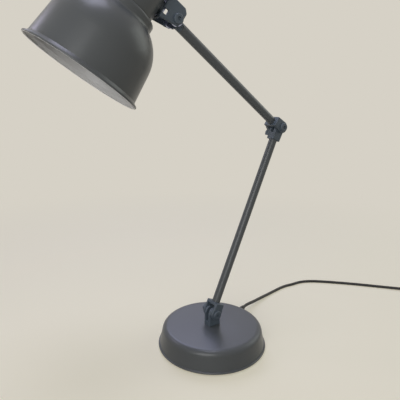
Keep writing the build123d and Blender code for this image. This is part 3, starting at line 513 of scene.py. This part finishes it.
def sprayed_casting():
    """Slate-sprayed die-cast zinc: fine grain, and paler edges, part handling wear, part painted highlight.
    """
    material, tree = new_finish("slate_sprayed_casting")
    place = add_node(tree, "ShaderNodeTexCoord")
    grain = add_node(tree, "ShaderNodeTexNoise", {"Scale": 1 / (GRAIN_MM * MM), "Detail": 4.0},
                     {"Vector": place.outputs["Object"]})
    geometry = add_node(tree, "ShaderNodeNewGeometry")
    rounded = add_node(tree, "ShaderNodeBevel", {"samples": 4, "Radius": EDGE_MM * MM})
    flatness = add_node(tree, "ShaderNodeVectorMath", {"operation": "DOT_PRODUCT"},
                        {0: rounded.outputs[0], 1: geometry.outputs["Normal"]})
    # Lighter edges: partly rubbed wear, partly a painted highlight on edges that catch the light.
    edge = add_node(tree, "ShaderNodeMapRange",
                    {"From Min": WEAR_AND_HIGHLIGHT_START, "From Max": WEAR_AND_HIGHLIGHT_FULL, "To Max": WEAR_AND_HIGHLIGHT_MOST},
                    {"Value": flatness.outputs["Value"]})
    worn_and_highlit = add_node(tree, "ShaderNodeMath", {"operation": "MULTIPLY"},
                    {0: edge.outputs[0], 1: grain.outputs[0]})
    tone = add_node(tree, "ShaderNodeMix",
                    {"data_type": "RGBA", 6: linear(CASTING_SLATE), 7: linear(RUBBED_EDGE_AND_HIGHLIGHT)},
                    {0: worn_and_highlit.outputs[0]})
    gloss = add_node(tree, "ShaderNodeMapRange", {"To Min": 0.38, "To Max": 0.54},
                     {"Value": grain.outputs[0]})
    relief = add_node(tree, "ShaderNodeBump", {"Strength": 0.25, "Distance": GRAIN_DEPTH_MM * MM},
                      {"Height": grain.outputs[0]})
    shader = add_node(tree, "ShaderNodeBsdfPrincipled", {"IOR": SPRAY_IOR},
                      {"Base Color": tone.outputs[2], "Roughness": gloss.outputs[0],
                       "Normal": relief.outputs[0]})
    add_node(tree, "ShaderNodeOutputMaterial", {}, {"Surface": shader.outputs[0]})
    return material


dark_casting = sprayed_casting()
dress(dark_casting, "base_fork", "lower_arm_fork", "base_pivot_bolt", "base_pivot_nut")
dress(zinc_plate, "base_pivot_washers")


# Arms and elbow. Two steel tubes in the grey coat are pressed into cast ends, with the lead inside them.
# At the elbow the upper arm's fork straddles the lower arm's knuckle on a bolt with a cast wing nut.
dress(grey_coat, "lower_arm_tube", "upper_arm_tube")
dress(dark_casting, "lower_arm_knuckle", "upper_arm_fork", "upper_arm_knuckle")
dress(dark_casting, "elbow_bolt", "elbow_wing_nut")
dress(zinc_plate, "elbow_washers")


# Head joint. A folded steel bracket, sprayed as the castings are, is clamped on the upper arm's eye between
# bright spacers. A hollow nipple with lock nuts through the bracket's web lets the neck swivel.
dress(dark_casting, "head_bracket", "head_bolt", "head_wing_nut", "swivel_saddle")
dress(zinc_plate, "head_spacers", "swivel_nipple", "swivel_nuts")


# Shade and neck. The bell is spun from steel sheet and the neck cup is drawn, both grey-coated outside. The
# bell's inside is white stove enamel, which ends with a soft edge on the rolled rim.
ENAMEL_WHITE = "#eeedeb"
# How far a face has to look in before the enamel starts on it, and before it covers the coat.
ENAMEL_START = -0.05
ENAMEL_FULL = -0.25

joints = {joint["name"]: joint for joint in frame["joints"]}
shade_up = -Vector(joints["switch_press"]["axis"])
swivel_axis = Vector(joints["shade_swivel"]["axis"])
swivel_place = Vector(joints["shade_swivel"]["pos_m"])


def two_tone_shade():
    """Powder coat on faces that look away from the shade's axis or up it, enamel on those that look in."""
    material, tree = new_finish("two_tone_spun_shade")
    tone, gloss, relief = powder_coat_nodes(tree, COAT_GREY)
    place = add_node(tree, "ShaderNodeTexCoord")
    away = add_node(tree, "ShaderNodeVectorMath", {"operation": "SUBTRACT", 1: swivel_place},
                    {0: place.outputs["Object"]})
    lengthwise = add_node(tree, "ShaderNodeVectorMath", {"operation": "PROJECT", 1: shade_up},
                          {0: away.outputs[0]})
    outwards = add_node(tree, "ShaderNodeVectorMath", {"operation": "SUBTRACT"},
                        {0: away.outputs[0], 1: lengthwise.outputs[0]})
    outwards = add_node(tree, "ShaderNodeVectorMath", {"operation": "NORMALIZE"}, {0: outwards.outputs[0]})
    leaning = add_node(tree, "ShaderNodeVectorMath", {"operation": "ADD", 1: shade_up},
                       {0: outwards.outputs[0]})
    facing = add_node(tree, "ShaderNodeVectorMath", {"operation": "DOT_PRODUCT"},
                      {0: leaning.outputs[0], 1: place.outputs["Normal"]})
    inside = add_node(tree, "ShaderNodeMapRange", {"From Min": ENAMEL_START, "From Max": ENAMEL_FULL},
                      {"Value": facing.outputs["Value"]})
    paint = add_node(tree, "ShaderNodeMix", {"data_type": "RGBA", 7: linear(ENAMEL_WHITE)},
                     {0: inside.outputs[0], 6: tone})
    shader = add_node(tree, "ShaderNodeBsdfPrincipled", {"IOR": COAT_IOR},
                      {"Base Color": paint.outputs[2], "Roughness": gloss, "Normal": relief})
    add_node(tree, "ShaderNodeOutputMaterial", {}, {"Surface": shader.outputs[0]})
    return material


dress(two_tone_shade(), "shade")
dress(grey_coat, "neck_cup")


# Neck screws. Two zinc-plated pan-head screws with a cross recess go through the neck's wall into the
# bridge that carries the lampholder.
SCREW_RISE = 11.25
SCREW_END = 31.4
SCREW_R = 1.5
HEAD_SEAT = 35.1
HEAD_R = 3.0
HEAD_H = 1.7
HEAD_ROUND = 0.8
HEAD_ROUND_STEPS = 4
CROSS_REACH = 1.7
CROSS_HALF = 0.42
CROSS_DEPTH = 1.1
CROSS_TAPER = 0.6


def cross_loop(shape, place, turn, size):
    """Outline of a cross recess, as a closed loop of points and edges."""
    corners = [(CROSS_REACH, CROSS_HALF), (CROSS_HALF, CROSS_HALF), (CROSS_HALF, CROSS_REACH)]
    spots = [Matrix.Rotation(math.pi / 2 * quarter, 3, "Z") @ Vector((x, y, 0)) * size
             for quarter in range(4) for x, y in corners]
    loop = [shape.verts.new((place + turn @ spot) * MM) for spot in spots]
    edges = [shape.edges.new(pair) for pair in zip(loop, loop[1:] + loop[:1])]
    return loop, edges


def pan_head_screw(shape, centre, axis):
    """One screw that points at the neck's middle, its head outside."""
    top = HEAD_SEAT + HEAD_H
    angles = [math.pi / 2 * step / HEAD_ROUND_STEPS for step in range(HEAD_ROUND_STEPS + 1)]
    outline = [(0, SCREW_END), (SCREW_R, SCREW_END), (SCREW_R, HEAD_SEAT), (HEAD_R, HEAD_SEAT)]
    outline += [(HEAD_R - HEAD_ROUND * (1 - math.cos(angle)), top - HEAD_ROUND * (1 - math.sin(angle)))
                for angle in angles]
    rim = [line[-1] for line in lathe(shape, outline, centre, axis)]
    rim_edges = [shape.edges.get(pair) for pair in zip(rim, rim[1:] + rim[:1])]
    turn = axis.to_track_quat("Z", "Y").to_matrix()
    mouth_edges = cross_loop(shape, centre + axis * top, turn, 1.0)[1]
    bottom, bottom_edges = cross_loop(shape, centre + axis * (top - CROSS_DEPTH), turn, CROSS_TAPER)
    bmesh.ops.triangle_fill(shape, use_beauty=True, edges=rim_edges + mouth_edges)
    bmesh.ops.bridge_loops(shape, edges=mouth_edges + bottom_edges)
    shape.faces.new(bottom)


screw_shape = bmesh.new()
screw_level = swivel_place / MM + shade_up * SCREW_RISE
for side in (-1, 1):
    pan_head_screw(screw_shape, screw_level, shade_up.cross(swivel_axis) * side)
neck_screws = new_piece("neck_pan_head_screws", screw_shape, zinc_plate, "shade_head")
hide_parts("bridge_screws")


# Lampholder and bulb. A zinc-plated bridge across the neck carries a moulded lampholder with its threaded
# ring. The bulb is a mains LED globe: an opal diffuser on a white moulded body.
OPAL = "#f1efe8"
BULB_WHITE = "#e4e3de"
BULB_IOR = 1.58
FLOW_MM = 12.0
GLOSS_SPREAD = 0.05
OPAL_DEPTH_MM = 4.0


def bulb_plastic(name, colour, roughness, milkiness):
    """Moulded polycarbonate that lets some light into its skin, with a barely uneven gloss."""
    material, tree = new_finish(name)
    place = add_node(tree, "ShaderNodeTexCoord")
    flow = add_node(tree, "ShaderNodeTexNoise", {"Scale": 1 / (FLOW_MM * MM), "Detail": 2.0},
                    {"Vector": place.outputs["Object"]})
    gloss = add_node(tree, "ShaderNodeMapRange",
                     {"To Min": roughness - GLOSS_SPREAD, "To Max": roughness + GLOSS_SPREAD},
                     {"Value": flow.outputs[0]})
    shader = add_node(tree, "ShaderNodeBsdfPrincipled",
                      {"Base Color": linear(colour), "IOR": BULB_IOR, "Subsurface Weight": milkiness,
                       "Subsurface Scale": OPAL_DEPTH_MM * MM},
                      {"Roughness": gloss.outputs[0]})
    add_node(tree, "ShaderNodeOutputMaterial", {}, {"Surface": shader.outputs[0]})
    return material


dress(zinc_plate, "holder_bridge", "holder_nut")
dress(black_plastic, "lampholder", "holder_ring")
dress(bulb_plastic("opal_polycarbonate", OPAL, roughness=0.4, milkiness=0.25), "bulb_globe")
dress(bulb_plastic("white_moulded_polycarbonate", BULB_WHITE, roughness=0.35, milkiness=0.0), "bulb_body")


# Push switch. It hangs under the neck's top with its bushing through the hole, held by a plated ring nut
# with a straight knurl, and its moulded button stands above the bushing.
RING_RISE = 28.0
RING_R = 9.0
KNURL_COUNT = 40
KNURL_STEPS = 8
KNURL_BEAD = 0.4
KNURL_L = 1.8

dress(black_plastic, "switch_body", "switch_button")
dress(zinc_plate, "switch_ring")
knurl_shape = bmesh.new()
ring_foot = swivel_place / MM + shade_up * RING_RISE
bead = [(0, 0), (KNURL_BEAD, KNURL_BEAD / 2), (KNURL_BEAD, KNURL_L - KNURL_BEAD / 2), (0, KNURL_L)]
for count in range(KNURL_COUNT):
    out = Matrix.Rotation(math.tau * count / KNURL_COUNT, 3, shade_up) @ swivel_axis
    lathe(knurl_shape, bead, ring_foot + out * RING_R, shade_up, KNURL_STEPS)
new_piece("switch_ring_knurl", knurl_shape, zinc_plate, "shade_head")
